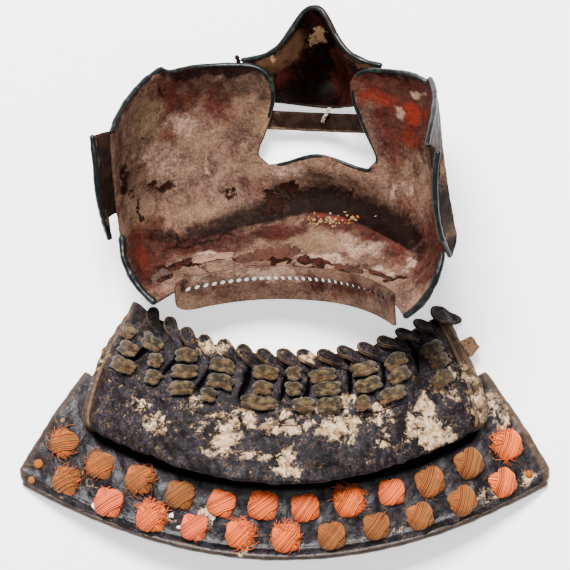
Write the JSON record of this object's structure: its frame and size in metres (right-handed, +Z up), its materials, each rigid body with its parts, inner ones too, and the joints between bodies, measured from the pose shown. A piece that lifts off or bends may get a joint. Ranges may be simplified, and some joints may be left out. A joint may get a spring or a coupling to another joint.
{
  "type": "samurai half mask with throat guard",
  "caption": "Lacquered half mask with nose, mouth opening and side wings, lying face down above its loose curved throat guard with silk cross knots.",
  "frame": {"origin": "on the surface it lies on, under the middle of the whole", "axes": "+X to the right along the throat guard, +Y towards the top of the mask, +Z up; the mask lies with its hollow side up"},
  "size_m": [0.2638, 0.2776, 0.1302],
  "materials": {
    "red_lacquer": "worn dark red lacquer over iron, beige-brown where it has gone",
    "brown_lacquer": "dark brown lacquer, half gloss",
    "black_lacquer": "blue-black lacquer, flaked to tan in patches",
    "iron": "old brown iron",
    "leather": "dry worn leather",
    "braid": "faded olive-brown braid",
    "silk": "frayed orange silk"
  },
  "bodies": {
    "root": {"mask_shell": "red_lacquer", "nose_piece": "red_lacquer", "lip_bar": "red_lacquer", "nose_pin": "iron", "cheek_pin": "iron", "wing_left": "brown_lacquer", "wing_right": "brown_lacquer", "throat_flange": "red_lacquer", "upper_lame": "black_lacquer", "lower_lame": "black_lacquer", "end_tab": "leather", "lacing_column_1": "braid", "lacing_column_2": "braid", "lacing_column_3": "braid", "lacing_column_4": "braid", "lacing_column_5": "braid", "lacing_column_6": "braid", "lacing_column_7": "braid", "lacing_column_8": "braid", "lacing_column_9": "braid", "lacing_column_10": "braid", "upper_knot_1": "silk", "upper_knot_2": "silk", "upper_knot_3": "silk", "upper_knot_4": "silk", "upper_knot_5": "silk", "upper_knot_6": "silk", "upper_knot_7": "silk", "upper_knot_8": "silk", "upper_knot_9": "silk", "upper_knot_10": "silk", "upper_knot_11": "silk", "upper_knot_12": "silk", "lower_knot_1": "silk", "lower_knot_2": "silk", "lower_knot_3": "silk", "lower_knot_4": "silk", "lower_knot_5": "silk", "lower_knot_6": "silk", "lower_knot_7": "silk", "lower_knot_8": "silk", "lower_knot_9": "silk", "lower_knot_10": "silk", "lower_knot_11": "silk"}
  },
  "joints": []
}
